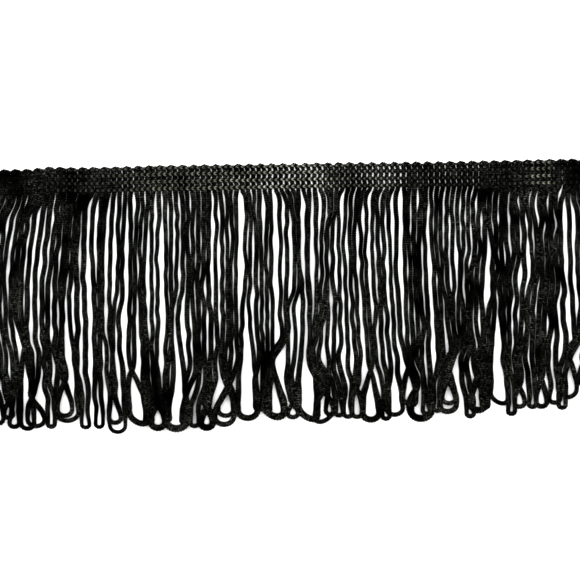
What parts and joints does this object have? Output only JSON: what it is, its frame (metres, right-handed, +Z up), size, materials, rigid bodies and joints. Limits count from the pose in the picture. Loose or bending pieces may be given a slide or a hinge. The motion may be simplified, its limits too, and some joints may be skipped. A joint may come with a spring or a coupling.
{
  "type": "looped chainette fringe trim",
  "caption": "Cut length of black looped chainette fringe lying flat, knitted heading with long yarn loops hanging from it.",
  "frame": {"origin": "on the resting surface, under the middle of the whole piece", "axes": "+X along the heading, +Y towards the heading's scalloped edge, +Z up off the surface"},
  "size_m": [0.2439, 0.104, 0.0047],
  "materials": {
    "heading_yarn": "matt knitted rayon yarn",
    "loop_yarn": "soft sheen knitted chainette"
  },
  "bodies": {
    "root": {"heading": "heading_yarn", "loop_fringe": "loop_yarn"}
  },
  "joints": []
}
